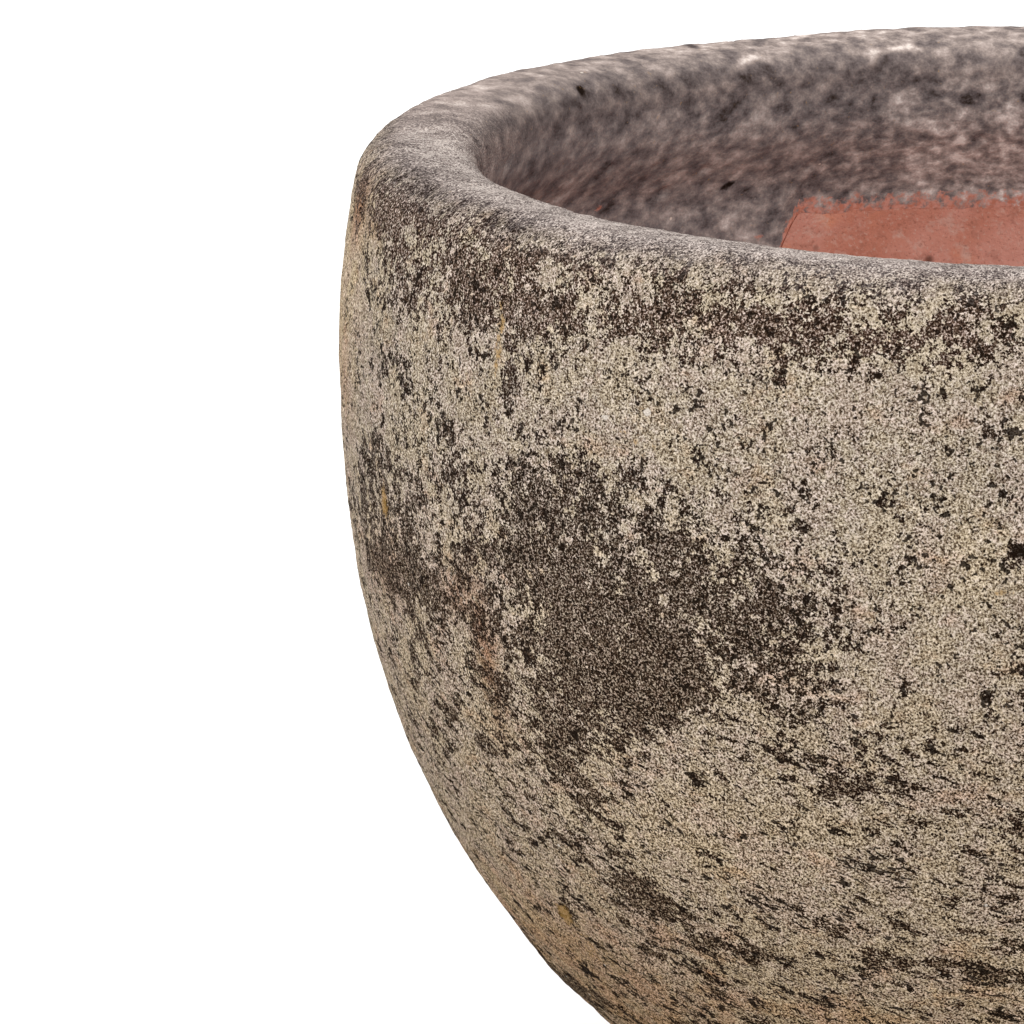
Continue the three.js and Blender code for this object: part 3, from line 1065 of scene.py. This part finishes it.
def add_piece(name, surface, material, node):
    piece = ring_mesh(name, surface)
    piece.data.materials.append(material)
    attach(piece, "root")
    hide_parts(node)


def build_planter():
    add_piece("coat", coat_surface(), coat_material(), node="stone_coat")
    add_piece("clay", clay_surface(), clay_material(), node="clay_bowl")


# ---- Studio ---------------------------------------------------------------------------------

# The camera's place and aim that bring the fitted outline onto the photograph.
CAMERA_DISTANCE = 4.2  # from the middle of the belly
CAMERA_ELEVATION = 11.46  # degrees, as are the three turns below
CAMERA_YAW = 3.18
CAMERA_PITCH = 12.47
CAMERA_ROLL = 0.41
CAMERA_SENSOR, CAMERA_LENS = 36, 359.2  # mm
CAMERA_CLIP = (0.05, 100)

SKY_STRENGTH = 0.72
LIGHT_DISTANCE = 3.0
FLOOR_REACH = 30.0


def add_camera():
    el, yaw, pitch, roll = (
        math.radians(v) for v in (CAMERA_ELEVATION, CAMERA_YAW, CAMERA_PITCH, CAMERA_ROLL)
    )
    middle = Vector((0, 0, BELLY_HEIGHT))
    place = middle + CAMERA_DISTANCE * Vector((0, -math.cos(el), math.sin(el)))
    level = Vector((-math.sin(yaw), math.cos(yaw), 0))
    ahead = math.cos(pitch) * level - math.sin(pitch) * Vector((0, 0, 1))
    right = ahead.cross(Vector((0, 0, 1))).normalized()
    up = right.cross(ahead)
    rolled_right = math.cos(roll) * right + math.sin(roll) * up
    rolled_up = math.cos(roll) * up - math.sin(roll) * right
    turn = Matrix((rolled_right, rolled_up, -ahead)).transposed().to_4x4()
    data = bpy.data.cameras.new("camera")
    data.sensor_width, data.lens = CAMERA_SENSOR, CAMERA_LENS
    data.clip_start, data.clip_end = CAMERA_CLIP
    camera = bpy.data.objects.new("camera", data)
    camera.matrix_world = Matrix.Translation(place) @ turn
    bpy.context.scene.collection.objects.link(camera)
    bpy.context.scene.camera = camera


def add_soft_light(name, azimuth, elevation, softness, energy):
    """A large soft light, the same all over the floor. Azimuth 0 is the camera's side."""
    data = bpy.data.lights.new(name, "SUN")
    data.angle, data.energy = math.radians(softness), energy
    lamp = bpy.data.objects.new(name, data)
    lift = math.radians(elevation)
    towards = Vector(turned(math.cos(lift), math.sin(lift), azimuth))
    lamp.rotation_mode = "QUATERNION"
    lamp.rotation_quaternion = towards.to_track_quat("Z", "Y")
    lamp.location = towards * LIGHT_DISTANCE
    bpy.context.scene.collection.objects.link(lamp)


def add_floor():
    far = FLOOR_REACH
    mesh = bpy.data.meshes.new("floor")
    corners = [(-far, -far, 0), (far, -far, 0), (far, far, 0), (-far, far, 0)]
    mesh.from_pydata(corners, [], [(0, 1, 2, 3)])
    floor = bpy.data.objects.new("floor", mesh)
    floor.data.materials.append(floor_material())
    bpy.context.scene.collection.objects.link(floor)


def add_studio():
    world = bpy.data.worlds.new("studio")
    world.use_nodes = True
    background = world.node_tree.nodes["Background"]
    background.inputs["Color"].default_value = (1, 1, 1, 1)
    background.inputs["Strength"].default_value = SKY_STRENGTH
    scene = bpy.context.scene
    scene.world = world
    scene.view_settings.view_transform = "Standard"
    add_soft_light("left_light", azimuth=-78, elevation=52, softness=22, energy=2.9)
    add_soft_light("right_light", azimuth=18, elevation=24, softness=26, energy=1.6)


build_planter()
add_floor()
add_camera()
add_studio()
